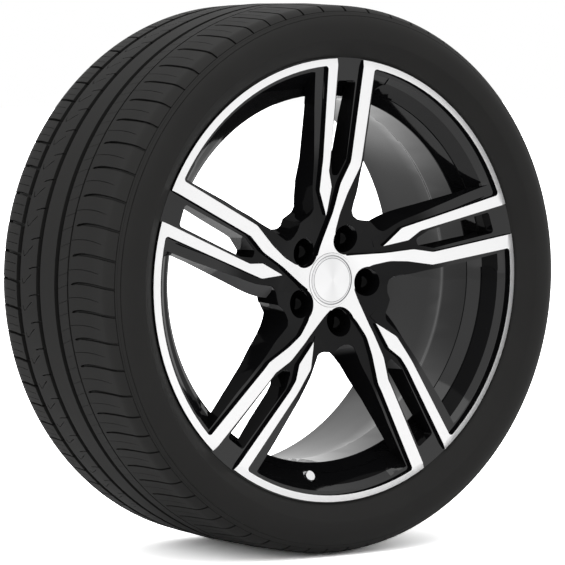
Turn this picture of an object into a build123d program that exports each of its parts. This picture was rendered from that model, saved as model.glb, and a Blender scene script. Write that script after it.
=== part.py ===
from build123d import *
import os
from math import atan2, cos, degrees, hypot, pi, radians, sin, tan

os.makedirs("parts", exist_ok=True)

# Car wheel with a low-profile tyre, in millimetres.
# The wheel spins about Y, its outer face looks along -Y and +Z is up.
# The origin is on the spin axis, at the middle of the tyre's width.

# Rim
bead_radius = 254.0
bead_half_width = 114.3
bead_seat_length = 20.0
bead_seat_taper = 1.5
flange_height = 17.0
flange_curl = 9.5
rim_wall = 7.0
well_depth = 22.0
well_near = 80.0
well_far = 36.0
barrel_edge = 83.0
rim_step = 3.0
barrel_start = 14.0
barrel_depth = 13.0
inner_lip_depth = 13.0

# Machined outer face, turned on a lathe: a flat lip and a dish towards the hub
lip_edge = 1.3
lip_width = 8.1
lip_fall = 2.4
dish_outer_radius = 150.0
dish_mid_radius = 86.0
dish_mid_depth = 8.0
dish_inner_radius = 42.0
dish_depth = 20.0
dish_blend = 60.0
step_depth = 5.0
step_bite = 0.8
lip_corner = 4.0
lip_gap_depth = 15.0

# Hub
spoke_count = 5
hub_offset = 48.0
hub_pad_radius = 74.0
hub_shoulder_radius = 80.0
hub_shoulder_height = 22.0
star_radius = 37.0
bore_diameter = 63.4
bore_length = 22.0
bore_relief = 1.5
bore_relief_length = 8.0
cap_bore_diameter = 59.0
cap_seat_depth = 6.0
lug_circle = 108.0
lug_angle = 23.2
lug_hole = 15.0
lug_pocket = 34.0
lug_scallop = 39.0
lug_seat_diameter = 26.0
lug_seat_wall = 16.0
lug_cone_angle = 30.0

# Spokes
spoke_back_mid = 48.0
spoke_back_mid_radius = 112.0
spoke_back_end = 26.0
bevel_width = 8.0
bevel_depth = 8.0
window_draft = 8.0
window_inner_radius = 88.0
window_corner = 9.0
window_root_corner = 14.0
window_bend = 30.0
slot_draft = 3.0
slot_corner = 4.0
slot_rim = 5.6
disc_overlap = 1.0
outline_overrun = 10.0

# Tyre
tyre_radius = 336.5
tyre_half_width = 137.5
tread_edge_drop = 2.0
tread_half_width = 92.0
tread_flat = 40.0
tread_thickness = 12.0
sidewall_thickness = 8.5
lining_lean = 16.0
bead_clearance = 0.3
bead_height = 7.0
bead_chamfer = 1.0
sidewall_foot = 3.0
shoulder_corner_inset = 6.5
shoulder_corner_drop = 3.6
shoulder_rounding_share = 0.62
bulge_rise_share = 0.366
bulge_overshoot = 3.1
bulge_rounding_share = 0.3
wide_groove_width = 9.0
wide_groove_depth = 7.0
thin_groove_width = 3.0
thin_groove_depth = 4.0
wide_groove_places = (77.2, 29.4, -11.8)
thin_groove_place = -37.5

# Centre cap
cap_diameter = 66.0
cap_seat_gap = 0.4
cap_edge_rise = 0.6
cap_dome = 2.6
cap_dome_steps = 5
cap_ring_radius = 29.0
cap_ring_width = 1.6
cap_ring_depth = 0.9
cap_plate = 3.0
cap_finger_wall = 2.4
cap_finger_gap = 0.3
cap_finger_count = 6
cap_finger_slot = 7.0
cap_barb = 0.8
cap_barb_length = 3.0
spring_thickness = 0.8
spring_width = 3.0
spring_place = 5.0
spring_gap = 15.0

# Valve, on its own axis from the middle of the rim wall
valve_angle = 187.2
valve_drop = 9.9
valve_inset = 21.4
valve_tilt = 25.0
valve_hole = 11.3
valve_wall = 4.5
valve_spot = 19.0
valve_shaft = 8.0
valve_bore = 4.0
valve_foot_diameter = 14.0
valve_foot = 6.0
valve_length = 8.8
grommet_flange = 2.75
grommet_gap = 0.1
washer_thickness = 0.8
washer_diameter = 16.0
nut_flats = 12.0
nut_height = 2.4
valve_cap_diameter = 13.0
valve_cap_length = 5.4
valve_cap_wall = 1.4
seal_thickness = 0.8
thread_gap = 0.05
core_length = 9.0
core_depth = 0.4
core_wall = 0.6
core_end_wall = 1.6
pin_diameter = 1.2
pin_gap = 0.08
pin_depth = 0.1
pin_cup_diameter = 3.0
pin_cup = 1.2
pin_collar_diameter = 2.2
pin_collar = 0.6
pin_collar_place = 3.0
screw_depth = 3.0
vent_diameter = 1.6
vent_place = 4.4
sensor_length = 34.0
sensor_width = 26.0
sensor_height = 13.0
sensor_corner = 3.0
sensor_plate = 3.0
sensor_notch_length = 12.0
sensor_notch_width = 9.0
screw_diameter = 3.0
screw_head = 5.6
screw_head_height = 2.0

# Worked out from the sizes above
flange_radius = bead_radius + flange_height
lip_outer_radius = flange_radius - lip_edge
lip_inner_radius = lip_outer_radius - lip_width
lip_y = -(bead_half_width + flange_curl)
ledge_y = lip_y + step_depth
hub_y = lip_y + dish_depth
hub_back_y = -hub_offset
well_radius = bead_radius - well_depth
window_radius = lip_inner_radius - bevel_width - step_depth
lug_radius = lug_circle / 2
bore_radius = bore_diameter / 2
pitch_angle = 360 / spoke_count
reach = flange_radius + outline_overrun


def face_plane(y):
    """Plane across the spin axis at this y, seen from the outer side, with local y up."""
    return Plane(origin=(0, y, 0), x_dir=(1, 0, 0), z_dir=(0, -1, 0))


def turned(points, angle):
    """Points turned clockwise about the spin axis, as seen from the outer side."""
    c = cos(radians(angle))
    s = sin(radians(angle))
    return [(x * c + z * s, z * c - x * s) for x, z in points]


def along(start, end, height):
    """Point at this height on the straight line through two points."""
    share = (height - start[1]) / (end[1] - start[1])
    return (start[0] + share * (end[0] - start[0]), height)


def face_line(drop, outer_radius):
    """Turned outer face as radius and y, from the axis outwards, lowered by drop."""
    return [
        (0, hub_y + drop),
        (dish_inner_radius, hub_y + drop),
        (dish_mid_radius, lip_y + dish_mid_depth + drop),
        (dish_outer_radius, lip_y + drop),
        (outer_radius, lip_y + drop),
    ]


def corner_radius(before, corner, after, reach):
    """Radius of the rounding that starts this far from a corner."""
    first = atan2(corner[1] - before[1], corner[0] - before[0])
    second = atan2(after[1] - corner[1], after[0] - corner[0])
    turn = abs((second - first + pi) % (2 * pi) - pi)
    return reach / tan(turn / 2)


# Outlines of one pair of spokes at the top of the wheel, as x and z seen from the outer side.
# The long spoke runs from the rim to the hub and the short one ends in a pointed leaf beside it.
long_left = [(14.9, 143.5), (2.2, 118.0), (-6.9, 78.0), (-20.4, 30.0)]
long_right = [(14.0, 34.0), (1.6, 54.0), (5.0, 83.0), (13.5, 106.0), (29.4, 138.0)]
long_left_end = along((14.9, 143.5), (34.4, 262.0), reach)
long_right_end = along((29.4, 138.0), (48.6, 246.0), reach)
long_outline = [long_left_end] + long_left + long_right + [long_right_end]
long_rounding = [0, 12, 30, 60, 0, 0, 30, 40, 30, 15, 0]
short_left_end = along((-27.2, 139.0), (-18.8, 254.0), reach)
short_right_end = along((-15.8, 150.0), (-4.4, 262.0), reach)
short_outline = [short_left_end, (-27.2, 139.0), (-28.6, 110.0), (-15.8, 79.5), (-11.0, 114.5)]
short_outline += [(-16.8, 134.0), (-15.8, 150.0), short_right_end]
short_rounding = [0, 60, 12, 0, 6, 10, 20, 0]

# Black gap between the twin spokes, where the bright lip is interrupted
gap_foot = lip_inner_radius - lip_gap_depth
gap_outline = [(-10, reach), (-13, gap_foot), (40, gap_foot), (44, reach)]

# Sides of the window between the long spoke of one pair and the short spoke of the next
window_long_side = [along((58.5, 128.0), (66.0, 235.0), reach), (58.5, 128.0), (42.0, 76.0)]
window_short_side = [(-31.0, 76.0), (-36.5, 122.0), along((-36.5, 122.0), (-29.0, 245.0), reach)]

# Slot between the twin spokes
slot_end = window_radius - slot_rim
slot_left_end = along((-12.0, 148.0), (-1.5, 243.0), slot_end)
slot_right_end = along((11.5, 148.0), (25.5, 243.0), slot_end)
slot_outline = [slot_left_end, slot_right_end, (11.5, 148.0), (0.5, 128.0), (-8.0, 128.0), (-12.0, 148.0)]

# Bright ribs: the silver outline cut from a thin turned shell
with BuildPart() as face_ribs:
    with BuildSketch(Plane.XY):
        with BuildLine():
            lip_end = (lip_outer_radius, lip_y + lip_fall)
            front = FilletPolyline(*face_line(0, lip_inner_radius), lip_end, radius=[dish_blend] * 3 + [0])
            back = Polyline(*face_line(step_depth + step_bite, lip_outer_radius))
            Line(front @ 0, back @ 0)
            Line(front @ 1, back @ 1)
        make_face()
    revolve(axis=Axis.Y)
    with BuildSketch(face_plane(hub_back_y)) as silver:
        for pair in range(spoke_count):
            with BuildLine():
                FilletPolyline(*turned(long_outline, pair * pitch_angle), radius=long_rounding, close=True)
            make_face()
            with BuildLine():
                FilletPolyline(*turned(short_outline, pair * pitch_angle), radius=short_rounding, close=True)
            make_face()
        Circle(star_radius)
        with BuildSketch(mode=Mode.PRIVATE) as lip:
            Circle(lip_outer_radius)
            Circle(lip_inner_radius, mode=Mode.SUBTRACT)
            for pair in range(spoke_count):
                with BuildLine():
                    Polyline(*turned(gap_outline, pair * pitch_angle), close=True)
                make_face(mode=Mode.SUBTRACT)
        add(lip.sketch_local)
        Circle(lip_outer_radius, mode=Mode.INTERSECT)
        corners = [v for v in silver.vertices() if abs(hypot(v.X, v.Y) - lip_inner_radius) < 0.1]
        fillet(corners, radius=lip_corner)
        for lug in range(spoke_count):
            with Locations(turned([(0, lug_radius)], lug_angle + lug * pitch_angle)[0]):
                Circle(lug_scallop / 2, mode=Mode.SUBTRACT)
    extrude(amount=-lip_y, mode=Mode.INTERSECT)

# Valve axis: its origin is in the middle of the rim wall and it points out of the wheel's face
radial = Vector(sin(radians(valve_angle)), 0, cos(radians(valve_angle)))
valve_side = Vector(cos(radians(valve_angle)), 0, -sin(radians(valve_angle)))
valve_out = radial * -sin(radians(valve_tilt)) + Vector(0, -cos(radians(valve_tilt)), 0)
valve_origin = radial * (bead_radius - valve_drop) + Vector(0, valve_inset - bead_half_width, 0)
valve_axis = Axis(valve_origin, valve_out)
valve_section = Plane(valve_origin, x_dir=valve_side, z_dir=valve_side.cross(valve_out))


def valve_plane(height):
    """Plane across the valve at this height along its axis."""
    return Plane(valve_origin + valve_out * height, x_dir=valve_side, z_dir=valve_out)


spot_half = valve_wall / 2

# One-piece cast wheel
with BuildPart() as alloy_wheel:
    # Dished disc that the spokes are cut from
    disc_back = [
        (window_radius + disc_overlap, lip_y + step_depth + spoke_back_end),
        (spoke_back_mid_radius, lip_y + spoke_back_mid),
        (hub_shoulder_radius, hub_back_y - hub_shoulder_height),
        (hub_pad_radius, hub_back_y),
        (0, hub_back_y),
    ]
    with BuildSketch(Plane.XY):
        with BuildLine():
            disc_front = Polyline(*face_line(step_depth, window_radius + disc_overlap))
            Polyline(disc_front @ 1, *disc_back, disc_front @ 0)
        make_face()
    revolve(axis=Axis.Y)

    # Windows between the pairs, drafted from the foot of their bevel to the back
    with BuildSketch(face_plane(ledge_y + bevel_depth)) as windows:
        for pair in range(spoke_count):
            sides = turned(window_long_side, pair * pitch_angle)
            sides += turned(window_short_side, (pair + 1) * pitch_angle)
            with BuildLine():
                bends = [0, window_bend, 0, 0, window_bend, 0]
                FilletPolyline(*sides, radius=bends, close=True)
            make_face()
        Circle(window_radius, mode=Mode.INTERSECT)
        Circle(window_inner_radius, mode=Mode.SUBTRACT)
        ends = [v for v in windows.vertices() if abs(hypot(v.X, v.Y) - window_radius) < 0.1]
        fillet(ends, radius=window_corner)
        roots = [v for v in windows.vertices() if abs(hypot(v.X, v.Y) - window_inner_radius) < 0.1]
        fillet(roots, radius=window_root_corner)
    extrude(windows.sketch, amount=hub_y - hub_back_y, taper=window_draft, mode=Mode.SUBTRACT)
    extrude(windows.sketch, amount=dish_depth, mode=Mode.SUBTRACT)

    # Slots between the twin spokes
    with BuildSketch(face_plane(ledge_y)) as slots:
        for pair in range(spoke_count):
            with BuildLine():
                FilletPolyline(*turned(slot_outline, pair * pitch_angle), radius=slot_corner, close=True)
            make_face()
    extrude(amount=-spoke_back_mid, taper=slot_draft, mode=Mode.SUBTRACT)

    # Rim and barrel
    seat_radius = bead_radius - bead_seat_taper
    seat_end = bead_half_width - bead_seat_length
    barrel_radius = bead_radius - barrel_depth
    slope_head = (window_radius, ledge_y + bevel_depth)
    slope_foot = (well_radius - rim_wall, -barrel_edge)
    step_radius = (slope_head[0] + slope_foot[0]) / 2
    step_y = (slope_head[1] + slope_foot[1]) / 2
    rim_section = [
        (window_radius, ledge_y),
        (flange_radius, ledge_y),
        (flange_radius - flange_curl, -bead_half_width),
        (bead_radius, -bead_half_width),
        (seat_radius, -seat_end),
        (well_radius, -well_near),
        (well_radius, -well_far),
        (barrel_radius, -barrel_start),
        (seat_radius, seat_end),
        (bead_radius, bead_half_width),
        (flange_radius - flange_curl, bead_half_width),
        (flange_radius, -ledge_y),
        (flange_radius, -lip_y),
        (flange_radius - inner_lip_depth, -lip_y),
        (bead_radius - rim_wall, bead_half_width),
        (seat_radius - rim_wall, seat_end),
        (barrel_radius - rim_wall, -barrel_start),
        (well_radius - rim_wall, -well_far),
        slope_foot,
        (step_radius, step_y + rim_step / 2),
        (step_radius, step_y - rim_step / 2),
        slope_head,
    ]
    with BuildSketch(Plane.XY):
        with BuildLine():
            Polyline(*rim_section, close=True)
        make_face()
    revolve(axis=Axis.Y)

    # Bevel round each window
    bevel_slope = degrees(atan2(bevel_width, bevel_depth))
    extrude(windows.sketch, amount=bevel_depth, taper=-bevel_slope, mode=Mode.SUBTRACT)

    add(face_ribs.part)

    # Hub bore, cap seat and lug holes
    with BuildSketch(face_plane(hub_y + cap_seat_depth)):
        Circle(cap_diameter / 2 + cap_seat_gap)
    extrude(amount=dish_depth, mode=Mode.SUBTRACT)
    with BuildSketch(face_plane(hub_back_y)):
        Circle(bore_radius)
    extrude(amount=bore_length, mode=Mode.SUBTRACT)
    with BuildSketch(face_plane(hub_back_y - bore_length)):
        Circle(bore_radius + bore_relief)
    extrude(amount=bore_relief_length, mode=Mode.SUBTRACT)
    with BuildSketch(face_plane(hub_back_y)):
        Circle(cap_bore_diameter / 2)
    extrude(amount=hub_back_y - hub_y, mode=Mode.SUBTRACT)
    lug_places = [turned([(0, lug_radius)], lug_angle + k * pitch_angle)[0] for k in range(spoke_count)]
    lug_seat_y = hub_back_y - lug_seat_wall
    lug_cone = (lug_seat_diameter - lug_hole) / 2 / tan(radians(lug_cone_angle))
    with BuildSketch(face_plane(lug_seat_y)):
        with Locations(*lug_places):
            Circle(lug_pocket / 2)
    extrude(amount=lug_seat_y - lip_y, mode=Mode.SUBTRACT)
    with BuildSketch(face_plane(lug_seat_y)):
        with Locations(*lug_places):
            Circle(lug_seat_diameter / 2)
    extrude(amount=-lug_cone, taper=lug_cone_angle, mode=Mode.SUBTRACT)
    with BuildSketch(face_plane(lug_seat_y)):
        with Locations(*lug_places):
            Circle(lug_hole / 2)
    extrude(amount=-lug_seat_wall, mode=Mode.SUBTRACT)

    # Valve hole, with a flat spot face on each side of the rim wall
    with BuildSketch(valve_plane(spot_half)):
        Circle(valve_spot / 2)
    extrude(amount=valve_length + spot_half, mode=Mode.SUBTRACT)
    with BuildSketch(valve_plane(-spot_half)):
        Circle(valve_spot / 2)
    extrude(amount=-valve_foot - grommet_flange, mode=Mode.SUBTRACT)
    with BuildSketch(valve_plane(-spot_half)):
        Circle(valve_hole / 2)
    extrude(amount=valve_wall, mode=Mode.SUBTRACT)
alloy_wheel.part.label = "alloy_wheel"
export_step(alloy_wheel.part, "parts/alloy_wheel.step")

# Tyre: one hollow ring, seated on the rim's two bead seats
with BuildPart() as tyre:
    crown_edge = (tyre_radius, -tread_flat)
    tread_edge = (tyre_radius - tread_edge_drop, -tread_half_width)
    shoulder_corner = (tyre_radius - shoulder_corner_drop, -tyre_half_width + shoulder_corner_inset)
    sidewall_start = (flange_radius + sidewall_foot, ledge_y - sidewall_foot)
    bulge_height = bulge_rise_share * (tyre_radius - flange_radius)
    bulge = (flange_radius + bulge_height, -tyre_half_width - bulge_overshoot)
    side_length = hypot(shoulder_corner[0] - bulge[0], shoulder_corner[1] - bulge[1])
    shoulder_length = hypot(tread_edge[0] - shoulder_corner[0], tread_edge[1] - shoulder_corner[1])
    flange_top = (flange_radius + bead_clearance, ledge_y + bead_clearance)
    curl_foot = (flange_radius - flange_curl, -bead_half_width + bead_clearance)
    bead_heel = (bead_radius + bead_clearance, -bead_half_width + bead_clearance)
    bead_toe = (seat_radius + bead_clearance, -seat_end)
    bead_top = (bead_toe[0] + bead_height, bead_toe[1] + bead_chamfer)
    inner_widest = (bulge[0], -tyre_half_width + sidewall_thickness)
    inner_shoulder = (tyre_radius - tread_thickness, inner_widest[1] + lining_lean)
    half_section = [(tyre_radius, 0), crown_edge, tread_edge, shoulder_corner, bulge, sidewall_start, flange_top]
    half_section += [curl_foot, bead_heel, bead_toe, bead_top, inner_widest, inner_shoulder]
    half_section += [(tyre_radius - tread_thickness, 0)]
    half_rounding = [0] * (len(half_section) - 2)
    shoulder_reach = shoulder_rounding_share * min(side_length, shoulder_length)
    half_rounding[2] = corner_radius(tread_edge, shoulder_corner, bulge, shoulder_reach)
    half_rounding[3] = corner_radius(shoulder_corner, bulge, sidewall_start, bulge_rounding_share * side_length)
    with BuildSketch(Plane.XY):
        with BuildLine():
            outer_half = FilletPolyline(*half_section, radius=half_rounding)
            mirror(outer_half, about=Plane.XZ)
        make_face()
    revolve(axis=Axis.Y)
    with BuildSketch(Plane.XY):
        for place in wide_groove_places:
            with Locations((tyre_radius, place)):
                Rectangle(2 * wide_groove_depth, wide_groove_width)
        with Locations((tyre_radius, thin_groove_place)):
            Rectangle(2 * thin_groove_depth, thin_groove_width)
    revolve(axis=Axis.Y, mode=Mode.SUBTRACT)
tyre.part.label = "tyre"
export_step(tyre.part, "parts/tyre.step")

# Centre cap: domed disc in the hub's front seat, with fingers that snap behind the cap bore
with BuildPart() as centre_cap:
    cap_radius = cap_diameter / 2
    cap_seat_y = hub_y + cap_seat_depth
    cap_edge_y = hub_y - cap_edge_rise
    cap_top_y = cap_edge_y - cap_dome
    cap_bore_end_y = hub_back_y - bore_length - bore_relief_length
    finger_radius = cap_bore_diameter / 2 - cap_finger_gap
    finger_inner = finger_radius - cap_finger_wall
    barb_radius = cap_bore_diameter / 2 + cap_barb
    barb_y = cap_bore_end_y + cap_finger_gap
    finger_end_y = barb_y + cap_barb_length
    ring_y = cap_top_y + cap_dome * (cap_ring_radius / cap_radius) ** 2
    shares = [(k + 1) / cap_dome_steps for k in range(cap_dome_steps)]
    dome_line = [(cap_radius * share, cap_top_y + cap_dome * share**2) for share in shares]
    with BuildSketch(Plane.XY):
        with BuildLine():
            Polyline(
                *dome_line,
                (cap_radius, cap_seat_y),
                (finger_radius, cap_seat_y),
                (finger_radius, barb_y),
                (barb_radius, barb_y),
                (finger_radius, finger_end_y),
                (finger_inner, finger_end_y),
                (finger_inner, cap_edge_y + cap_plate),
                (0, cap_edge_y + cap_plate),
                (0, cap_top_y),
                close=True,
            )
        make_face()
        with Locations((cap_ring_radius, ring_y)):
            Rectangle(cap_ring_width, 2 * cap_ring_depth, mode=Mode.SUBTRACT)
    revolve(axis=Axis.Y)
    with BuildSketch(face_plane(finger_end_y)):
        with PolarLocations(finger_radius, cap_finger_count):
            Rectangle(4 * cap_finger_wall, cap_finger_slot)
    extrude(amount=finger_end_y - cap_seat_y, mode=Mode.SUBTRACT)
centre_cap.part.label = "centre_cap"
export_step(centre_cap.part, "parts/centre_cap.step")

# Open steel band that spreads the cap's fingers
with BuildPart() as cap_spring_ring:
    with BuildSketch(Plane.XY):
        with Locations((finger_inner - thread_gap, finger_end_y - spring_place)):
            Rectangle(spring_thickness, spring_width, align=(Align.MAX, Align.CENTER))
    revolve(axis=Axis.Y, revolution_arc=360 - spring_gap)
cap_spring_ring.part.label = "cap_spring_ring"
export_step(cap_spring_ring.part, "parts/cap_spring_ring.step")

# Valve stem: foot inside the tyre, shaft through the rim wall
shaft_radius = valve_shaft / 2
valve_bore_radius = valve_bore / 2
foot_top = -spot_half - grommet_flange
foot_bottom = foot_top - valve_foot
core_end = valve_length - core_depth
core_start = core_end - core_length
with BuildPart() as valve_stem:
    with BuildSketch(valve_section):
        with BuildLine():
            Polyline(
                (screw_diameter / 2, foot_bottom),
                (valve_foot_diameter / 2, foot_bottom),
                (valve_foot_diameter / 2, foot_top),
                (shaft_radius, foot_top),
                (shaft_radius, valve_length),
                (valve_bore_radius, valve_length),
                (valve_bore_radius, foot_top),
                (vent_diameter / 2, foot_top),
                (vent_diameter / 2, foot_bottom + screw_depth),
                (screw_diameter / 2, foot_bottom + screw_depth),
                close=True,
            )
        make_face()
    revolve(axis=valve_axis)
    vent = Plane(valve_origin + valve_out * (foot_bottom + vent_place), x_dir=valve_out, z_dir=valve_side)
    with BuildSketch(vent):
        Circle(vent_diameter / 2)
    extrude(amount=valve_foot_diameter, both=True, mode=Mode.SUBTRACT)
valve_stem.part.label = "valve_stem"
export_step(valve_stem.part, "parts/valve_stem.step")

# Rubber grommet between the foot and the rim wall
with BuildPart() as valve_grommet:
    with BuildSketch(valve_section):
        with BuildLine():
            Polyline(
                (shaft_radius + grommet_gap, foot_top),
                (valve_foot_diameter / 2, foot_top),
                (valve_foot_diameter / 2, -spot_half),
                (valve_hole / 2 - grommet_gap, -spot_half),
                (valve_hole / 2 - grommet_gap, spot_half),
                (shaft_radius + grommet_gap, spot_half),
                close=True,
            )
        make_face()
    revolve(axis=valve_axis)
valve_grommet.part.label = "valve_grommet"
export_step(valve_grommet.part, "parts/valve_grommet.step")

# Washer and hexagon nut that clamp the stem from outside
with BuildPart() as valve_washer:
    with BuildSketch(valve_plane(spot_half)):
        Circle(washer_diameter / 2)
        Circle(shaft_radius + grommet_gap, mode=Mode.SUBTRACT)
    extrude(amount=washer_thickness)
valve_washer.part.label = "valve_washer"
export_step(valve_washer.part, "parts/valve_washer.step")

nut_start = spot_half + washer_thickness
with BuildPart() as valve_nut:
    with BuildSketch(valve_plane(nut_start)):
        RegularPolygon(nut_flats / 2, 6, major_radius=False)
        Circle(shaft_radius + thread_gap, mode=Mode.SUBTRACT)
    extrude(amount=nut_height)
valve_nut.part.label = "valve_nut"
export_step(valve_nut.part, "parts/valve_nut.step")

# Screw cap over the stem's end, with its sealing disc
seal_top = valve_length + seal_thickness
valve_cap_top = seal_top + valve_cap_wall
with BuildPart() as valve_cap:
    with BuildSketch(valve_section):
        with BuildLine():
            Polyline(
                (0, valve_cap_top),
                (valve_cap_diameter / 2, valve_cap_top),
                (valve_cap_diameter / 2, valve_cap_top - valve_cap_length),
                (shaft_radius + thread_gap, valve_cap_top - valve_cap_length),
                (shaft_radius + thread_gap, seal_top),
                (0, seal_top),
                close=True,
            )
        make_face()
    revolve(axis=valve_axis)
    rims = valve_cap.edges().filter_by(GeomType.CIRCLE).sort_by(SortBy.RADIUS)[-2:]
    chamfer(rims, length=valve_cap_wall / 3)
valve_cap.part.label = "valve_cap"
export_step(valve_cap.part, "parts/valve_cap.step")

with BuildPart() as valve_cap_seal:
    with BuildSketch(valve_plane(valve_length + thread_gap)):
        Circle(shaft_radius)
    extrude(amount=seal_thickness - thread_gap)
valve_cap_seal.part.label = "valve_cap_seal"
export_step(valve_cap_seal.part, "parts/valve_cap_seal.step")

# Valve core: barrel in the stem's bore
pin_radius = pin_diameter / 2
core_radius = valve_bore_radius - thread_gap
chamber_radius = core_radius - core_wall
with BuildPart() as valve_core:
    with BuildSketch(valve_section):
        with BuildLine():
            Polyline(
                (pin_radius + pin_gap, core_start),
                (core_radius, core_start),
                (core_radius, core_end),
                (pin_radius + pin_gap, core_end),
                (pin_radius + pin_gap, core_end - core_end_wall),
                (chamber_radius, core_end - core_end_wall),
                (chamber_radius, core_start + core_end_wall),
                (pin_radius + pin_gap, core_start + core_end_wall),
                close=True,
            )
        make_face()
    revolve(axis=valve_axis)
valve_core.part.label = "valve_core"
export_step(valve_core.part, "parts/valve_core.step")

# Plunger that slides in the core, with a cup below that closes the valve
collar_top = core_end - pin_collar_place
collar_bottom = collar_top - pin_collar
cup_top = core_start - pin_gap
with BuildPart() as valve_pin:
    with BuildSketch(valve_section):
        with BuildLine():
            Polyline(
                (0, valve_length - pin_depth),
                (pin_radius, valve_length - pin_depth),
                (pin_radius, collar_top),
                (pin_collar_diameter / 2, collar_top),
                (pin_collar_diameter / 2, collar_bottom),
                (pin_radius, collar_bottom),
                (pin_radius, cup_top),
                (pin_cup_diameter / 2, cup_top),
                (pin_cup_diameter / 2, cup_top - pin_cup),
                (0, cup_top - pin_cup),
                close=True,
            )
        make_face()
    revolve(axis=valve_axis)
valve_pin.part.label = "valve_pin"
export_step(valve_pin.part, "parts/valve_pin.step")

# Pressure sensor on the stem's foot, held by a screw in its notch
with BuildPart() as pressure_sensor:
    with BuildSketch(valve_plane(foot_bottom)):
        RectangleRounded(sensor_width, sensor_height, sensor_corner)
    extrude(amount=-sensor_length)
    with BuildSketch(valve_plane(foot_bottom - sensor_plate)):
        with Locations((0, -sensor_height / 4)):
            Rectangle(sensor_notch_width, sensor_height)
    extrude(amount=-sensor_notch_length, mode=Mode.SUBTRACT)
    with BuildSketch(valve_plane(foot_bottom)):
        Circle(screw_diameter / 2)
    extrude(amount=-sensor_plate, mode=Mode.SUBTRACT)
pressure_sensor.part.label = "pressure_sensor"
export_step(pressure_sensor.part, "parts/pressure_sensor.step")

with BuildPart() as sensor_screw:
    with BuildSketch(valve_plane(foot_bottom - sensor_plate)):
        Circle(screw_head / 2)
    extrude(amount=-screw_head_height)
    with BuildSketch(valve_plane(foot_bottom - sensor_plate)):
        Circle(screw_diameter / 2 - thread_gap)
    extrude(amount=sensor_plate + screw_depth - thread_gap)
sensor_screw.part.label = "sensor_screw"
export_step(sensor_screw.part, "parts/sensor_screw.step")
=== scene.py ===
import math

import bmesh
import bpy
from mathutils import Matrix, Vector


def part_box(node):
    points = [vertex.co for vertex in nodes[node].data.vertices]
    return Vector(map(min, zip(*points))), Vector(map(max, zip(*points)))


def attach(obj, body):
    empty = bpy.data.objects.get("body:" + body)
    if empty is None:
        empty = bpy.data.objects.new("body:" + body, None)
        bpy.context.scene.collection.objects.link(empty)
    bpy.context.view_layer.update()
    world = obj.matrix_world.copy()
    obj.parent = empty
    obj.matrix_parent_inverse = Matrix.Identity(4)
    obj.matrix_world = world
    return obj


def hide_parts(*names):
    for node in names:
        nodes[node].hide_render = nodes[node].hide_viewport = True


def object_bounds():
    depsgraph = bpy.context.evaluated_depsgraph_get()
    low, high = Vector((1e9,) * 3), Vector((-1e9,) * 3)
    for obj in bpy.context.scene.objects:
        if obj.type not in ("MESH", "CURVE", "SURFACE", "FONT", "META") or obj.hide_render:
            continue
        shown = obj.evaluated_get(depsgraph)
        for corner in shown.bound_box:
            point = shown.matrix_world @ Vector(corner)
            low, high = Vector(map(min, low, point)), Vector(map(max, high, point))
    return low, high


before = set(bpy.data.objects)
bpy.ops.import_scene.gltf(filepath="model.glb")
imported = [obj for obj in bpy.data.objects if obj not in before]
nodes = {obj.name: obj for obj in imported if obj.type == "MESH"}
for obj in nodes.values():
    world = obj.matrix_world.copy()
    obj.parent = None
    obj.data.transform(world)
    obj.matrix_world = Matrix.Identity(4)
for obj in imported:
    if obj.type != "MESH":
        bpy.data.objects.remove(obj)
cadLow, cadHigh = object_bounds()
mm = 0.001                # shapes are written in millimetres, looks and the studio in metres
near = 1e-5               # metres; points closer than this are one point
veryNear = 1e-6
tyreLow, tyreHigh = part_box("tyre")
print("frame loaded,", len(nodes), "nodes, tyre size", [round(v, 4) for v in tyreHigh - tyreLow])


def deselectAll():
    if bpy.context.object and bpy.context.object.mode != "OBJECT":
        bpy.ops.object.mode_set(mode="OBJECT")
    bpy.ops.object.select_all(action="DESELECT")


def activate(obj, others=()):
    deselectAll()
    for piece in (obj, *others):
        piece.select_set(True)
    bpy.context.view_layer.objects.active = obj


def applyModifiers(obj):
    activate(obj)
    for modifier in list(obj.modifiers):
        bpy.ops.object.modifier_apply(modifier=modifier.name)


def cutBy(obj, tool, operation):
    step = obj.modifiers.new(operation, "BOOLEAN")
    step.operation = operation
    step.solver = "EXACT"
    step.object = tool
    applyModifiers(obj)
    bpy.data.objects.remove(tool)


def copyOf(obj):
    copy = obj.copy()
    copy.data = obj.data.copy()
    bpy.context.scene.collection.objects.link(copy)
    return copy


def tidyNormals(obj):
    activate(obj)
    bpy.ops.object.mode_set(mode="EDIT")
    bpy.ops.mesh.select_all(action="SELECT")
    bpy.ops.mesh.remove_doubles(threshold=near)
    bpy.ops.mesh.normals_make_consistent(inside=False)
    bpy.ops.object.mode_set(mode="OBJECT")


def between(lane, at):
    # straight lines through the lane's pairs, level past the last
    for (at0, value0), (at1, value1) in zip(lane, lane[1:]):
        if at <= at1:
            return value0 + (value1 - value0) * (at - at0) / (at1 - at0)
    return lane[-1][1]


# Shader maths: a wrapped socket takes part in plain expressions

class Val:
    def __init__(self, mat, socket):
        self.mat = mat
        self.socket = socket

    def math(self, operation, other=None):
        values = {0: self} if other is None else {0: self, 1: other}
        return self.mat.node("ShaderNodeMath", {"operation": operation}, values)

    def __add__(self, other):
        return self.math("ADD", other)

    def __sub__(self, other):
        return self.math("SUBTRACT", other)

    def __mul__(self, other):
        return self.math("MULTIPLY", other)

    def __truediv__(self, other):
        return self.math("DIVIDE", other)

    def __pow__(self, other):
        return self.math("POWER", other)

    def __radd__(self, other):
        return self.math("ADD", other)

    def __rmul__(self, other):
        return self.math("MULTIPLY", other)

    def __rsub__(self, other):
        return self.mat.node("ShaderNodeMath", {"operation": "SUBTRACT"}, {0: other, 1: self})

    def smooth(self, low, high):
        values = {"Value": self, "From Min": low, "From Max": high}
        return self.mat.node("ShaderNodeMapRange", {"interpolation_type": "SMOOTHSTEP"}, values)


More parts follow.
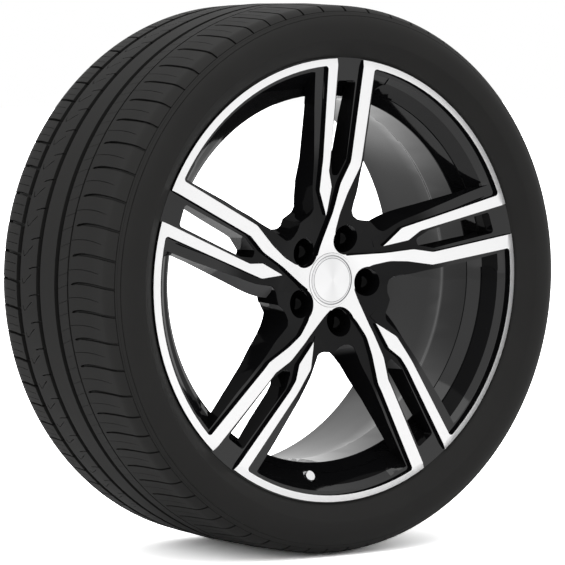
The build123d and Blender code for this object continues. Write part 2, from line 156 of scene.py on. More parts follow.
class Mat:
    def __init__(self, name):
        self.material = bpy.data.materials.new(name)
        self.material.use_nodes = True
        self.tree = self.material.node_tree
        self.shader = self.tree.nodes["Principled BSDF"]

    def node(self, kind, settings=None, inputs=None, output=0):
        made = self.tree.nodes.new(kind)
        for key, value in (settings or {}).items():
            setattr(made, key, value)
        for key, value in (inputs or {}).items():
            self.feed(made.inputs[key], value)
        return Val(self, made.outputs[output])

    def feed(self, socket, value):
        if isinstance(value, Val):
            self.tree.links.new(value.socket, socket)
        elif isinstance(value, tuple) and len(value) == 3 and socket.type == "RGBA":
            socket.default_value = (*value, 1)
        else:
            socket.default_value = value

    def set(self, **values):
        for key, value in values.items():
            self.feed(self.shader.inputs[key.replace("_", " ")], value)

    def coords(self, output="Object"):
        return self.node("ShaderNodeTexCoord", output=output)

    def split(self, vector):
        first = self.node("ShaderNodeSeparateXYZ", None, {0: vector})
        return [Val(self, socket) for socket in first.socket.node.outputs]

    def noise(self, vector, scale, detail):
        return self.node("ShaderNodeTexNoise", None, {"Vector": vector, "Scale": scale, "Detail": detail})

    def mix(self, factor, first, second):
        values = {0: factor, 6: first, 7: second}
        return self.node("ShaderNodeMix", {"data_type": "RGBA"}, values, output=2)

    def bump(self, height, strength, distance):
        values = {"Height": height, "Strength": strength, "Distance": distance}
        return self.node("ShaderNodeBump", None, values)


def dress(obj, mat):
    obj.data.materials.clear()
    obj.data.materials.append(mat.material)


def shaded(colour, factor):
    return tuple(c * factor for c in colour)


# Wheel: gloss black casting whose turned face is bare bright metal

wheelLook = {
    "black": (0.0042, 0.0042, 0.0046),
    "paintRough": 0.3,
    "bright": (0.95, 0.948, 0.95),
    "brightMetal": 0.78,
    "brightRough": 0.34,
    "brightSpread": 0.06,     # the grain takes off up to this much roughness
    "grain": (900.0, 3.0),    # scale and detail, of the bare metal
    "peel": (420.0, 1.0),     # and of the paint's orange peel
    "peelHeight": 0.6,        # beside the turning marks, which count as 1
    "latheLines": 2600.0,     # turning marks per metre of radius
    "relief": (0.06, 0.0002),     # strength and distance of the bump
    "coatRough": 0.05,
    "coatIor": 1.5,
    "specular": 0.0,          # all gloss of the paint is its coat
    "faceLine": [(0.042, -0.1038), (0.086, -0.1158), (0.150, -0.1238)],   # radius and y of the turned face
    "skin": 0.0036,           # how far below the turned face still counts as cut
    "cutFacing": 0.8,         # and how squarely it faces outwards
    # gloss of the paint, by place
    "wallGloss": 0.08,        # gloss left on the walls of spokes and pockets
    "flat": (0.90, 0.97),     # ledges that face outwards this squarely keep their gloss
    "roots": (0.135, 0.178, 0.24),        # nearer the hub than these radii the ledges keep only this much
    "barrel": (0.205, -0.081),            # radius and y past which the full gloss of the barrel starts
    "barrelSide": (0.165, 0.215, 0.55),   # towards the right the barrel mirrors less
    "rimBand": 0.2225,                    # radius past which the sloped bands of the rim are glossy
    "bandFacing": (0.4, 0.55),            # if they face outwards this squarely
    "darkBand": (0.2366, 0.2500, 0.03),   # the band below the bevel: its two radii and gloss
    "darkBandTop": (0.02, 0.14, 0.55),    # towards the top of the wheel that band is glossier
    "leftBands": (0.10, 0.19, 0.6),       # towards the left all bands mirror less
    "downGloss": (0.5, 0.7, 0.5),         # walls that face down this squarely, and their gloss
    "paintedFloorLight": (0.12, 0.12, 0.122),      # painted floor light: their paint on the spokes is painted paler, as if lit from a floor
    "stepFoot": 0.0056,                   # the step above the ledge, down to here, is left out of both
    "lugRing": (0.074, -0.097),           # radius and y inside which the nut pockets lie, all dull
}


def wheelMaterial():
    look = wheelLook
    mat = Mat("wheel_black_and_bright")
    place = mat.coords()
    x, y, z = mat.split(place)
    ny, nz = mat.split(mat.coords("Normal"))[1:]
    facing = ny * -1.0
    radius = (x * x + z * z) ** 0.5

    # the turned face, a cone of two slopes
    (r0, y0), (r1, y1), (r2, y2) = look["faceLine"]
    inner = mat.node("ShaderNodeMapRange", None, {0: radius, 1: r0, 2: r1, 3: y0, 4: y1})
    outer = mat.node("ShaderNodeMapRange", None, {0: radius, 1: r1, 2: r2, 3: 0.0, 4: y2 - y1})
    faceY = inner + outer
    above = (faceY + look["skin"]) - y
    bright = above.math("GREATER_THAN", 0.0) * facing.math("GREATER_THAN", look["cutFacing"])

    # ledges and barrel
    root0, root1, rootGloss = look["roots"]
    ledge = facing.smooth(*look["flat"]) * (rootGloss + radius.smooth(root0, root1) * (1 - rootGloss))
    barrelRadius, barrelY = look["barrel"]
    side0, side1, sideLoss = look["barrelSide"]
    barrel = radius.math("GREATER_THAN", barrelRadius) * y.math("GREATER_THAN", barrelY)
    barrel = barrel * (1 - x.smooth(side0, side1) * sideLoss)

    # bands round the rim
    dark0, dark1, darkGloss = look["darkBand"]
    top0, top1, topGloss = look["darkBandTop"]
    left0, left1, leftLoss = look["leftBands"]
    darkBand = radius.math("GREATER_THAN", dark0) * radius.math("LESS_THAN", dark1)
    darkGloss = darkGloss + z.smooth(top0, top1) * topGloss
    bands = radius.math("GREATER_THAN", look["rimBand"]) * facing.smooth(*look["bandFacing"])
    bands = bands * (1 - darkBand * (1 - darkGloss))
    bands = bands * (1 - (x * -1.0).smooth(left0, left1) * leftLoss)

    # walls that face down, and the nut pockets
    down0, down1, downGloss = look["downGloss"]
    down = (nz * -1.0).smooth(down0, down1) * (y - faceY).math("GREATER_THAN", look["stepFoot"])
    lugRadius, lugY = look["lugRing"]
    outsideLugs = 1 - radius.math("LESS_THAN", lugRadius) * y.math("GREATER_THAN", lugY)
    # painted floor light goes on the spoke walls that face down, outside the nut pockets
    floorLitSpokeWalls = down * radius.math("LESS_THAN", barrelRadius) * outsideLugs

    exposed = ledge.math("MAXIMUM", bands).math("MAXIMUM", barrel).math("MAXIMUM", down * downGloss)
    gloss = look["wallGloss"] + exposed * outsideLugs * (1 - look["wallGloss"])
    # the black paint, with painted floor light on those walls
    paint = mat.mix(floorLitSpokeWalls, look["black"], look["paintedFloorLight"])
    colour = mat.mix(bright, paint, look["bright"])
    spread = look["brightSpread"]
    grain = mat.noise(place, *look["grain"])
    rough = bright * (look["brightRough"] - spread + grain * spread) + (1 - bright) * look["paintRough"]
    marks = (radius * look["latheLines"] * 2 * math.pi).math("SINE")
    peel = mat.noise(place, *look["peel"])
    height = bright * marks + (1 - bright) * peel * look["peelHeight"]
    mat.set(Base_Color=colour, Metallic=bright * look["brightMetal"], Roughness=rough)
    mat.set(Coat_Weight=gloss * (1 - bright), Normal=mat.bump(height, *look["relief"]))
    mat.set(Specular_IOR_Level=look["specular"], Coat_Roughness=look["coatRough"], Coat_IOR=look["coatIor"])
    return mat


# Tyre rubber

rubberLook = {
    "dark": (0.0124, 0.0122, 0.0119),
    "light": (0.0175, 0.0172, 0.0167),
    "side": (0.078, 0.118, 1.32),     # from the tread's edge outwards the rubber is paler by this factor
    "rough": 0.6,
    "roughSpread": 0.12,
    "cloud": (18.0, 4.0),             # scale and detail of the pale patches
    "grain": (1400.0, 2.0),           # and of the rubber's skin
    "relief": (0.12, 0.0003),         # strength and distance of the bump
    "specular": 0.11,
}


def rubberMaterial():
    look = rubberLook
    mat = Mat("tyre_rubber")
    place = mat.coords()
    y = mat.split(place)[1]
    cloud = mat.noise(place, *look["cloud"])
    grain = mat.noise(place, *look["grain"])
    side0, side1, paler = look["side"]
    side = y.math("ABSOLUTE").smooth(side0, side1)
    tread = mat.mix(cloud, look["dark"], look["light"])
    wall = mat.mix(cloud, shaded(look["dark"], paler), shaded(look["light"], paler))
    mat.set(Base_Color=mat.mix(side, tread, wall), Specular_IOR_Level=look["specular"])
    mat.set(Roughness=look["rough"] + (cloud - 0.5) * look["roughSpread"])
    mat.set(Normal=mat.bump(grain, *look["relief"]))
    return mat


# Tyre: one pitch of tread is modelled flat and cut, copied in its five lengths, then bent to a ring.
# The flat strip runs along Z, its outside faces -X, and x = 0 lies at the tread's radius.

tyreShape = {                 # millimetres
    "radius": 336.5,
    "pitch": 34.0,
    "slices": 4,
    # radius, distance from the middle and rounding of each corner, from tread to bead
    "side": [(336.5, 40.0, 0.0), (334.5, 92.0, 0.0), (332.9, 131.0, 32.5), (306.0, 137.8, 0.0),
             (299.0, 138.7, 0.0), (292.3, 138.5, 3.0), (274.0, 121.8, 3.0), (271.3, 118.5, 0.0),
             (261.5, 114.0, 0.0), (254.3, 114.0, 0.0), (252.8, 94.3, 0.0), (259.8, 93.3, 0.0)],
    "inside": [(295.0, 129.0, 20.0), (324.5, 113.0, 18.0)],
    "arcStep": 2.5,           # a rounding has one segment for each such length of its radius
    "arcLeast": 3,            # but no fewer than this
    # distance from the middle and radius of the tread's surface, rounded shoulder included
    "crown": [(0.0, 336.5), (40.0, 336.5), (92.0, 334.5), (107.0, 333.9), (112.6, 333.1), (117.5, 331.5),
              (122.7, 329.0), (127.4, 325.3), (130.4, 322.2), (133.5, 317.9)],
    # place, width and depth of the grooves that run round the tyre
    "grooves": [(77.2, 9.0, 7.0), (29.4, 9.0, 7.0), (-11.8, 9.0, 7.0), (-37.5, 3.0, 4.0)],
    "grooveSlope": 0.8,       # each wall leans by this much
    # fine lines round both shoulders: distance from the middle, width and depth
    "edgeLines": [(125.1, 0.9, 1.0), (127.4, 0.5, 0.5), (130.4, 0.9, 1.0)],
    "linePast": 2.0,          # their cutters run this far past the pitch
    "cutterRise": 3.0,        # and every cutter stands this far proud of the tread
    "endFacing": 0.99,        # faces at a pitch's ends that point along it this squarely are opened
    "smoothAngle": 32.0,
}
pitchLengths = {"a": 24.0, "b": 27.0, "c": 30.0, "d": 33.0, "e": 36.0}
pitchOrder = "aaabababb" + "ddddd" + "eeeddccbdd" + "cbabcdeedcbbabcdddecbabccdedcbacbdeedcbcdbcdcb"
pitchStart = -365.0           # where the first pitch begins, along the ring from its left

# Cuts of one pitch: points as distance from the middle (outer side negative) and place along the pitch
treadCuts = {
    "mainGroove": {
        "path": [(-44.5, 8.6), (-48.0, 9.4), (-54.0, 10.4), (-62.0, 10.9), (-70.0, 10.9), (-85.0, 10.4),
                 (-101.0, 9.2), (-115.0, 7.6), (-125.4, 6.0)],
        "wide": [0.5, 2.0, 2.8, 3.0, 2.9, 2.8, 2.9, 3.0, 3.0], "deep": 2.4},
    "upperLine": {
        "path": [(-46.0, 9.4), (-54.0, 11.2), (-62.0, 11.9), (-70.0, 12.0), (-85.0, 11.6), (-101.0, 10.4),
                 (-115.0, 8.8), (-124.8, 7.2)],
        "wide": [0.8, 1.9, 1.9, 1.6, 1.3, 1.1, 1.0, 0.9], "deep": 5.0},
    "lowerLine": {
        "path": [(-56.0, 9.6), (-71.0, 9.7), (-86.0, 9.1), (-102.0, 7.9), (-116.0, 6.3), (-124.5, 5.0)],
        "wide": [0.6, 0.8, 0.8, 0.8, 0.8, 0.7], "deep": 3.4},
    "middleSipe": {
        "path": [(-39.5, 26.0), (-51.0, 27.4), (-67.0, 27.9), (-83.0, 26.9), (-101.0, 24.3)],
        "wide": [0.6, 0.7, 0.7, 0.6, 0.4], "deep": 3.0},
    "ribSipeOne": {
        "path": [(-14.0, 0.9), (-24.0, 4.2), (-36.5, 7.6)],
        "wide": [0.3, 0.5, 0.6], "deep": 1.6},
    "ribSipeTwo": {
        "path": [(-17.0, 17.4), (-27.0, 20.4), (-36.5, 22.8)],
        "wide": [0.3, 0.5, 0.6], "deep": 1.6},
    "backGroove": {
        "path": [(126.0, 8.6), (112.0, 8.2), (98.0, 7.4), (80.5, 5.0)],
        "wide": [3.0, 3.6, 3.6, 3.2], "deep": 5.0},
    "backSipeOne": {
        "path": [(122.0, 19.0), (104.0, 18.6), (85.0, 16.6)],
        "wide": [0.5, 0.7, 0.6], "deep": 3.0},
    "backSipeTwo": {
        "path": [(122.0, 29.6), (104.0, 29.2), (85.0, 27.2)],
        "wide": [0.5, 0.7, 0.6], "deep": 3.0},
    "hookLong": {
        "path": [(66.0, 4.0), (62.0, 5.0), (55.0, 10.5), (46.0, 15.8)],
        "wide": [1.3, 1.2, 1.0, 0.6], "deep": 3.2},
    "hookShort": {
        "path": [(65.6, 3.8), (67.4, 7.0), (68.2, 10.4)],
        "wide": [1.2, 1.1, 0.8], "deep": 3.2},
    "notch": {
        "path": [(33.2, 25.6), (43.0, 24.6), (52.0, 22.6)],
        "wide": [2.0, 1.7, 0.7], "deep": 3.6},
}
lineEnds = (-tyreShape["linePast"], tyreShape["pitch"] + tyreShape["linePast"])
for side in (-1, 1):
    for lineAt, lineWide, lineDeep in tyreShape["edgeLines"]:
        path = [(side * lineAt, along) for along in lineEnds]
        edgeLine = {"path": path, "wide": [lineWide, lineWide], "deep": lineDeep}
        treadCuts["edgeLine%d_%d" % (side, lineAt)] = edgeLine


def selectWhere(obj, kind, test):
    bpy.ops.mesh.select_mode(type=kind)
    bpy.ops.mesh.select_all(action="DESELECT")
    mesh = bmesh.from_edit_mesh(obj.data)
    if kind == "VERT":
        chosen = [v for v in mesh.verts if test(v.co)]
    else:
        chosen = [f for f in mesh.faces if test(f.calc_center_median(), f.normal)]
    for item in chosen:
        item.select_set(True)
    mesh.select_flush_mode()
    bmesh.update_edit_mesh(obj.data)
    return len(chosen)


def startPoint(name, place):
    deselectAll()
    bpy.ops.mesh.primitive_plane_add(size=mm, location=(0, 0, 0))
    obj = bpy.context.object
    obj.name = name
    bpy.ops.object.mode_set(mode="EDIT")
    bpy.ops.mesh.select_mode(type="VERT")
    bpy.ops.mesh.select_all(action="SELECT")
    bpy.ops.mesh.merge(type="CENTER")
    bpy.ops.transform.translate(value=place)
    return obj


def drawLine(points):
    for before, after in zip(points, points[1:]):
        bpy.ops.mesh.extrude_region_move(TRANSFORM_OT_translate={"value": Vector(after) - Vector(before)})


def flat(radius, y, along=0.0):
    return ((tyreShape["radius"] - radius) * mm, y * mm, along * mm)


def crownRadius(y):
    return between(tyreShape["crown"], abs(y))


def tyreSection():
    shape = tyreShape
    front = [(r, -y, turn) for r, y, turn in shape["side"]]
    back = [(r, y, turn) for r, y, turn in reversed(shape["side"])]
    crown = [back[-1]]
    for y, wide, deep in shape["grooves"]:
        top, foot = wide / 2, wide / 2 - shape["grooveSlope"]
        rise = crownRadius(y)
        crown += [(rise, y + top, 0.0), (rise - deep, y + foot, 0.0)]
        crown += [(rise - deep, y - foot, 0.0), (rise, y - top, 0.0)]
    crown.sort(key=lambda corner: -corner[1])
    inner = [(r, -y, turn) for r, y, turn in shape["inside"]]
    inner += [(r, y, turn) for r, y, turn in reversed(shape["inside"])]
    return back[:-1] + crown + front + inner


def roundCorners(obj, corners):
    count = len(corners)
    for place, (radius, y, rounding) in enumerate(corners):
        if rounding == 0.0:
            continue
        corner = Vector(flat(radius, y))
        before = Vector(flat(*corners[place - 1][:2])) - corner
        after = Vector(flat(*corners[(place + 1) % count][:2])) - corner
        reach = rounding * mm / math.tan(before.angle(after) / 2)
        segments = max(tyreShape["arcLeast"], int(rounding / tyreShape["arcStep"]))
        selectWhere(obj, "VERT", lambda co: (co - corner).length < near)
        bpy.ops.mesh.bevel(offset=reach, offset_type="ABSOLUTE", affect="VERTICES", segments=segments)


def makeCutter(name, cut):
    points = [flat(crownRadius(y) - cut["deep"], y, along) for y, along in cut["path"]]
    rise = (cut["deep"] + tyreShape["cutterRise"]) * mm
    cutter = startPoint(name, points[0])
    drawLine(points)
    bpy.ops.mesh.select_all(action="SELECT")
    bpy.ops.mesh.extrude_region_move(TRANSFORM_OT_translate={"value": (-rise, 0, 0)})
    bpy.ops.object.mode_set(mode="OBJECT")
    widest = max(cut["wide"])
    group = cutter.vertex_groups.new(name="width")
    for vertex in cutter.data.vertices:
        group.add([vertex.index], cut["wide"][vertex.index % len(points)] / widest, "REPLACE")
    wall = cutter.modifiers.new("width", "SOLIDIFY")
    wall.thickness = widest * mm
    wall.offset = 0.0
    wall.vertex_group = group.name
    applyModifiers(cutter)
    tidyNormals(cutter)
    return cutter


def makePitch():
    shape = tyreShape
    corners = tyreSection()
    outline = [flat(radius, y) for radius, y, rounding in corners]
    block = startPoint("tyre_tread", outline[0])
    drawLine(outline)
    bpy.ops.mesh.select_all(action="SELECT")
    bpy.ops.mesh.edge_face_add()
    roundCorners(block, corners)
    bpy.ops.mesh.select_mode(type="FACE")
    bpy.ops.mesh.select_all(action="SELECT")
    step = shape["pitch"] / shape["slices"] * mm
    for k in range(shape["slices"]):
        bpy.ops.mesh.extrude_region_move(TRANSFORM_OT_translate={"value": (0, 0, step)})
    tidyNormals(block)
    for name, cut in treadCuts.items():
        cutBy(block, makeCutter(name, cut), "DIFFERENCE")
    length = shape["pitch"] * mm

    def isEnd(co, normal):
        return min(abs(co.z), abs(co.z - length)) < veryNear and abs(normal.z) > shape["endFacing"]

    activate(block)
    bpy.ops.object.mode_set(mode="EDIT")
    found = selectWhere(block, "FACE", isEnd)
    bpy.ops.mesh.delete(type="ONLY_FACE")
    bpy.ops.object.mode_set(mode="OBJECT")
    print("one pitch of tread,", len(block.data.polygons), "faces,", found, "ends opened")
    return block


def makeTyre():
    shape = tyreShape
    block = makePitch()
    total = sum(pitchLengths[letter] for letter in pitchOrder)
    stretch = 2 * math.pi * shape["radius"] / total
    along = pitchStart
    copies = []
    for letter in pitchOrder:
        length = pitchLengths[letter] * stretch
        copy = copyOf(block)
        copy.scale.z = length / shape["pitch"]
        copy.location.z = along * mm
        along += length
        copies.append(copy)
    bpy.data.objects.remove(block)
    activate(copies[0], copies)
    bpy.ops.object.join()
    bpy.ops.object.transform_apply(location=True, rotation=True, scale=True)
    tyre = bpy.context.object
    tyre.name = "tyre_tread"
    ring = tyre.modifiers.new("ring", "SIMPLE_DEFORM")
    ring.deform_method = "BEND"
    ring.deform_axis = "Y"
    ring.angle = 2 * math.pi
    applyModifiers(tyre)
    bpy.ops.object.mode_set(mode="EDIT")
    bpy.ops.mesh.select_all(action="SELECT")
    bpy.ops.transform.translate(value=(-shape["radius"] * mm, 0, 0))
    tidyNormals(tyre)
    bpy.ops.object.shade_smooth_by_angle(angle=math.radians(shape["smoothAngle"]))
    dress(tyre, rubberMaterial())
    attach(tyre, "wheel")
    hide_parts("tyre")
    tyre.data.calc_loop_triangles()
    print("tyre bent to its ring,", len(pitchOrder), "pitches,", len(tyre.data.loop_triangles), "triangles")


makeTyre()


# Wheel casting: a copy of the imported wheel, with its spokes thinned from behind, the windows widened
# along each long spoke and a ledge added along each short one

wheelShape = {                # millimetres; the top pair of spokes, seen from the outer side
    # radius and y of the turned cut: the new back of the spokes first, then clear of the rim
    "backCut": [(108.0, -75.0), (118.0, -78.0), (160.0, -89.0), (200.0, -92.5), (236.0, -98.0),
                (223.0, -84.5), (223.0, -40.0), (108.0, -40.0)],
    # radius and y of the space inside the rim, which the window cuts stay within
    "rimInside": [(60.0, -139.0), (255.8, -139.0), (255.8, -119.2), (248.0, -111.2), (224.3, -83.6),
                  (224.3, -55.0), (60.0, -55.0)],
    "turnSteps": 120,
    # height on the spoke, x of the window's edge at the ledge and at the back, and how far down the back lies
    "longSide": [(71.0, 42.0, 47.0, 40.0), (73.5, 34.5, 43.5, 40.0), (77.5, 28.5, 41.0, 40.0),
                 (84.0, 25.6, 38.8, 40.0), (95.0, 27.8, 37.4, 40.0), (105.0, 30.6, 37.4, 40.0),
                 (115.0, 32.4, 38.8, 38.0), (125.0, 33.6, 40.2, 35.0), (135.0, 35.2, 41.2, 32.0),
                 (150.0, 38.1, 42.6, 29.0), (170.0, 41.1, 44.4, 29.0), (190.0, 45.0, 46.0, 29.0),
                 (210.0, 47.8, 48.2, 29.0), (230.0, 50.6, 51.0, 29.0), (258.0, 54.6, 55.0, 29.0)],
    "longReach": 45.0,        # how far the cut goes on into the window
    # the same without the last value, which is one for all
    "shortSide": [(70.0, -29.5, -43.0), (78.0, -30.6, -45.0), (86.0, -31.8, -46.6), (95.0, -33.0, -47.8),
                  (105.0, -34.9, -48.2), (115.0, -36.2, -47.9), (125.0, -36.4, -47.2), (135.0, -36.4, -46.2),
                  (150.0, -36.4, -44.5), (170.0, -36.3, -42.2), (190.0, -36.1, -39.8), (210.0, -36.1, -37.5),
                  (230.0, -35.5, -36.0), (254.0, -34.5, -35.0)],
    "shortDeep": 20.0,
    "shortReach": 12.0,       # how far the ledge goes on into the spoke
    "ledgeDrop": 5.0,         # the ledge lies this far below the turned face
    "pairs": 5,
    "smoothAngle": 30.0,
    "evenWeight": 100,        # large faces outweigh small ones fully in the normals
}


def ledgeY(x, z):
    lane = [(0.0, wheelLook["faceLine"][0][1])] + wheelLook["faceLine"]
    return between(lane, math.hypot(x, z) * mm) / mm + wheelShape["ledgeDrop"]


def makeTurned(name, outline):
    points = [(radius * mm, y * mm, 0.0) for radius, y in outline]
    turned = startPoint(name, points[0])
    drawLine(points)
    bpy.ops.mesh.select_all(action="SELECT")
    bpy.ops.mesh.edge_face_add()               # closes the outline, and its face goes again
    bpy.ops.mesh.delete(type="ONLY_FACE")
    bpy.ops.mesh.select_all(action="SELECT")
    bpy.ops.mesh.spin(steps=wheelShape["turnSteps"], angle=2 * math.pi, center=(0, 0, 0), axis=(0, 1, 0))
    tidyNormals(turned)
    return turned


def makeWall(name, rows, reach):
    # a grid laid through rows of points, thickened sideways and copied round the wheel
    deselectAll()
    columns = len(rows[0])
    bpy.ops.mesh.primitive_grid_add(x_subdivisions=columns - 1, y_subdivisions=len(rows) - 1)
    wall = bpy.context.object
    wall.name = name
    for vertex in wall.data.vertices:
        vertex.co = Vector(rows[vertex.index // columns][vertex.index % columns]) * mm
    bpy.ops.object.mode_set(mode="EDIT")
    bpy.ops.mesh.select_all(action="SELECT")
    bpy.ops.mesh.extrude_region_move(TRANSFORM_OT_translate={"value": (reach * mm, 0, 0)})
    tidyNormals(wall)
    copies = [copyOf(wall) for k in range(1, wheelShape["pairs"])]
    for k, copy in enumerate(copies, 1):
        copy.rotation_euler.y = 2 * math.pi * k / wheelShape["pairs"]
    activate(wall, copies)
    bpy.ops.object.transform_apply(location=True, rotation=True, scale=True)
    bpy.ops.object.join()
    return bpy.context.object


def makeWheel():
    shape = wheelShape
    packed = nodes["alloy_wheel"]
    casting = bpy.data.objects.new("wheel_casting", packed.data.copy())
    casting.matrix_world = packed.matrix_world
    bpy.context.scene.collection.objects.link(casting)
    activate(casting)
    bpy.ops.object.transform_apply(location=True, rotation=True, scale=True)
    bpy.ops.mesh.customdata_custom_splitnormals_clear()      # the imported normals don't fit the cut mesh
    bpy.ops.object.mode_set(mode="EDIT")
    bpy.ops.mesh.select_all(action="SELECT")
    bpy.ops.mesh.remove_doubles(threshold=veryNear)
    bpy.ops.object.mode_set(mode="OBJECT")
    before = len(casting.data.polygons)

    cutBy(casting, makeTurned("back_cut", shape["backCut"]), "DIFFERENCE")
    top, foot = shape["rimInside"][0][1], shape["rimInside"][-1][1]
    edge = shape["longSide"]
    rows = [[(x, top, z) for z, x, xBack, deep in edge],
            [(x, ledgeY(x, z), z) for z, x, xBack, deep in edge],
            [(xBack, ledgeY(x, z) + deep, z) for z, x, xBack, deep in edge],
            [(xBack, foot, z) for z, x, xBack, deep in edge]]
    opening = makeWall("window_cut", rows, shape["longReach"])
    cutBy(opening, makeTurned("rim_inside", shape["rimInside"]), "INTERSECT")
    cutBy(casting, opening, "DIFFERENCE")
    edge = shape["shortSide"]
    rows = [[(x, ledgeY(x, z), z) for z, x, xBack in edge],
            [(xBack, ledgeY(x, z) + shape["shortDeep"], z) for z, x, xBack in edge]]
    cutBy(casting, makeWall("short_ledge", rows, shape["shortReach"]), "UNION")

    bpy.ops.object.shade_smooth_by_angle(angle=math.radians(shape["smoothAngle"]))
    even = casting.modifiers.new("even", "WEIGHTED_NORMAL")      # flat faces stay flat beside the fillets
    even.keep_sharp = True
    even.weight = shape["evenWeight"]
    applyModifiers(casting)
    dress(casting, wheelMaterial())
    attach(casting, "wheel")
    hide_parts("alloy_wheel")
    print("wheel casting shaped,", before, "faces became", len(casting.data.polygons))


makeWheel()


# Centre cap: turned silver

capLook = {
    "bright": (0.95, 0.95, 0.955),
    "metal": 0.75,
    "rough": 0.32,
    "roughSpread": 0.08,
    "grain": (700.0, 3.0),        # scale and detail
    "paintedSheen": (0.0, 0.75, 0.9),      # painted sheen of metal brushed in circles: above and below the middle it is painted darker, down to the last value
    "hub": 0.001,                 # keeps the painted sheen from breaking up at the middle
    "shade": (0.22, 0.22, 0.23),
    "shadeShare": 0.85,
    "shadedRings": [(0.0268, 0.0004), (0.0297, 0.0006)],   # radius and half width of the dark rings, painted shade in the ring groove and round the cap's edge
    "ringEdge": (0.5, 1.6),       # they fade between these shares of the half width
    "ringDepth": 4.0,             # beside the turning marks, which count as 1
    "marks": 3000.0,              # turning marks per metre of radius
    "relief": (0.08, 0.0002),     # strength and distance of the bump
}


def capMaterial():
    look = capLook
    mat = Mat("cap_silver")
    place = mat.coords()
    x, z = mat.split(place)[::2]
    radius = (x * x + z * z) ** 0.5
    edge0, edge1 = look["ringEdge"]
    ringShades = []
    for ringAt, ringHalf in look["shadedRings"]:
        ringShades.append(1 - (radius - ringAt).math("ABSOLUTE").smooth(ringHalf * edge0, ringHalf * edge1))
    # dark rings of painted shade, in the ring groove and round the edge; the same rings cut a groove in the
    # bump
    ringGrooveAndShade = ringShades[0].math("MAXIMUM", ringShades[1])
    sheen0, sheen1, sheenShade = look["paintedSheen"]
    # painted sheen: the cap is painted lighter to the sides and darker above and below the middle
    paintedSheen = (x / (radius + look["hub"])).math("ABSOLUTE").smooth(sheen0, sheen1)
    colour = mat.mix(paintedSheen, shaded(look["bright"], sheenShade), look["bright"])
    # the painted shade of the rings darkens the colour
    colour = mat.mix(ringGrooveAndShade * look["shadeShare"], colour, look["shade"])
    grain = mat.noise(place, *look["grain"])
    marks = (radius * look["marks"] * 2 * math.pi).math("SINE")
    mat.set(Base_Color=colour, Metallic=look["metal"])
    mat.set(Roughness=look["rough"] + (grain - 0.5) * look["roughSpread"])
    mat.set(Normal=mat.bump(marks - ringGrooveAndShade * look["ringDepth"], *look["relief"]))
    return mat


dress(nodes["centre_cap"], capMaterial())


# Valve, sensor and spring ring

metal = {
    "metallic": 0.9,
    "grain": (1500.0, 3.0),       # scale and detail
    "shade": 0.86,                # the colour's darkest share
    "roughSpread": 0.1,
    "relief": (0.05, 0.0002),     # strength and distance of the bump
}
plastic = {
    "metallic": 0.0,
    "grain": (1200.0, 3.0),
    "shade": 0.8,
    "roughSpread": 0.12,
    "relief": (0.1, 0.0002),
}
smallPieces = {
    "valve_stem": ("valve_stem_alloy", metal, (0.62, 0.62, 0.63), 0.35),
    "valve_washer": ("washer_steel", metal, (0.55, 0.55, 0.56), 0.3),
    "valve_nut": ("nut_alloy", metal, (0.6, 0.6, 0.61), 0.32),
    "valve_core": ("core_brass", metal, (0.72, 0.53, 0.22), 0.3),
    "valve_pin": ("pin_brass", metal, (0.75, 0.56, 0.25), 0.28),
    "valve_cap": ("valve_cap_bright", metal, (0.9, 0.9, 0.91), 0.3),
    "cap_spring_ring": ("spring_steel", metal, (0.5, 0.5, 0.52), 0.28),
    "sensor_screw": ("screw_steel", metal, (0.5, 0.5, 0.52), 0.35),
    "valve_grommet": ("grommet_rubber", plastic, (0.02, 0.02, 0.02), 0.7),
    "valve_cap_seal": ("seal_rubber", plastic, (0.025, 0.025, 0.025), 0.7),
    "pressure_sensor": ("sensor_moulding", plastic, (0.03, 0.03, 0.032), 0.5),
}


def smallMaterial(name, look, colour, rough):
    mat = Mat(name)
    grain = mat.noise(mat.coords(), *look["grain"])
    mat.set(Base_Color=mat.mix(grain, shaded(colour, look["shade"]), colour), Metallic=look["metallic"])
    mat.set(Roughness=rough + (grain - 0.5) * look["roughSpread"])
    mat.set(Normal=mat.bump(grain, *look["relief"]))
    return mat


for nodeName, finish in smallPieces.items():
    dress(nodes[nodeName], smallMaterial(*finish))
print("small pieces dressed")


# Studio: pale floor, white backdrop, soft lamps

studio = {
    "floorSize": 40.0,
    "floorColour": (0.8, 0.8, 0.8),
    "floorMirrored": (1.2, 1.2, 1.2),    # in reflections the lit floor is about white
    "floorSeen": (3.4, 3.4, 3.4),        # to the camera the lit floor is white and keeps the shadow
    "fill": 0.76,                        # world light on the object
}


def makeFloor():
    deselectAll()
    bpy.ops.mesh.primitive_plane_add(size=studio["floorSize"], location=(0, 0, cadLow.z))
    floor = bpy.context.object
    floor.name = "floor"
    mat = Mat("floor_pale")
    path = mat.node("ShaderNodeLightPath").socket.node.outputs
    mirrored = Val(mat, path["Is Glossy Ray"]).math("MAXIMUM", Val(mat, path["Is Transmission Ray"]))
    colour = mat.mix(mirrored, studio["floorColour"], studio["floorMirrored"])
    colour = mat.mix(Val(mat, path["Is Camera Ray"]), colour, studio["floorSeen"])
    matt = mat.node("ShaderNodeBsdfDiffuse", None, {"Color": colour})
    mat.tree.links.new(matt.socket, mat.tree.nodes["Material Output"].inputs["Surface"])
    dress(floor, mat)


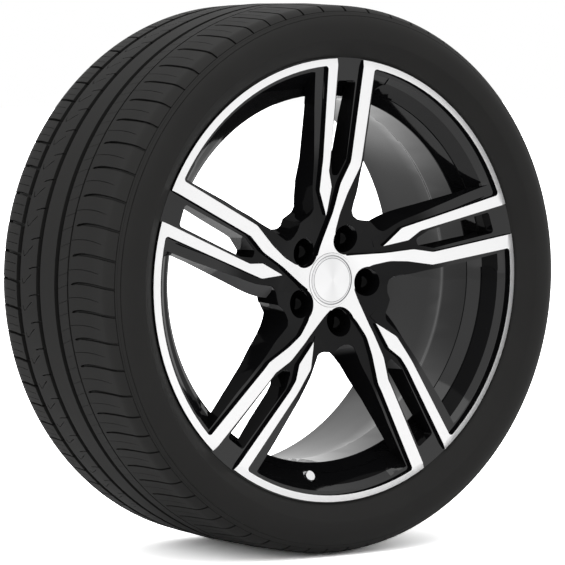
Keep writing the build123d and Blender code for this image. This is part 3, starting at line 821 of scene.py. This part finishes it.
def makeWorld():
    world = bpy.data.worlds.new("studio")
    world.use_nodes = True
    bpy.context.scene.world = world
    tree = world.node_tree
    path = tree.nodes.new("ShaderNodeLightPath")
    seen = path.outputs["Is Camera Ray"]
    for ray in ("Is Glossy Ray", "Is Transmission Ray"):
        larger = tree.nodes.new("ShaderNodeMath")
        larger.operation = "MAXIMUM"
        tree.links.new(seen, larger.inputs[0])
        tree.links.new(path.outputs[ray], larger.inputs[1])
        seen = larger.outputs[0]
    strength = tree.nodes.new("ShaderNodeMapRange")
    strength.inputs["To Min"].default_value = studio["fill"]
    strength.inputs["To Max"].default_value = 1.0                # seen or mirrored it is white
    tree.links.new(seen, strength.inputs["Value"])
    back = tree.nodes["Background"]
    back.inputs["Color"].default_value = (1, 1, 1, 1)
    tree.links.new(strength.outputs[0], back.inputs["Strength"])


lamps = [
    {"name": "topSoftbox", "at": (-0.5, -0.9, 2.6), "size": 2.4, "power": 20.0},
    {"name": "leftSoftbox", "at": (-2.6, -0.6, 1.0), "size": 1.8, "power": 12.0},
]


def makeLamp(lamp):
    data = bpy.data.lights.new(lamp["name"], "AREA")
    data.size = lamp["size"]
    data.energy = lamp["power"]
    obj = bpy.data.objects.new(lamp["name"], data)
    obj.location = lamp["at"]
    obj.rotation_mode = "QUATERNION"
    obj.rotation_quaternion = Vector(lamp["at"]).to_track_quat("Z", "Y")
    bpy.context.scene.collection.objects.link(obj)


makeFloor()
makeWorld()
for lamp in lamps:
    makeLamp(lamp)
print("studio set")


# Camera at the photograph's view, for a square picture

shot = {
    "azimuth": -35.0,
    "elevation": 3.92,
    "distance": 4.8,
    "lift": -0.00887,
    "picture": 565.0,         # pixels
    "focal": 3870.6,          # in pixels of the picture
    "sensor": 36.0,
    "clipEnd": 200.0,
}


def makeCamera():
    azimuth = math.radians(shot["azimuth"])
    elevation = math.radians(shot["elevation"])
    level = math.cos(elevation)
    back = Vector((math.sin(azimuth) * level, -math.cos(azimuth) * level, math.sin(elevation)))
    right = Vector((math.cos(azimuth), math.sin(azimuth), 0))
    up = back.cross(right)
    data = bpy.data.cameras.new("camera")
    data.sensor_width = shot["sensor"]
    data.lens = data.sensor_width * shot["focal"] / shot["picture"]
    data.clip_end = shot["clipEnd"]
    camera = bpy.data.objects.new("camera", data)
    turn = Matrix((right, up, back)).transposed()
    camera.matrix_world = turn.to_4x4()
    camera.location = back * shot["distance"] + up * shot["lift"]
    bpy.context.scene.collection.objects.link(camera)
    bpy.context.scene.camera = camera


makeCamera()
bpy.context.scene.view_settings.view_transform = "Standard"
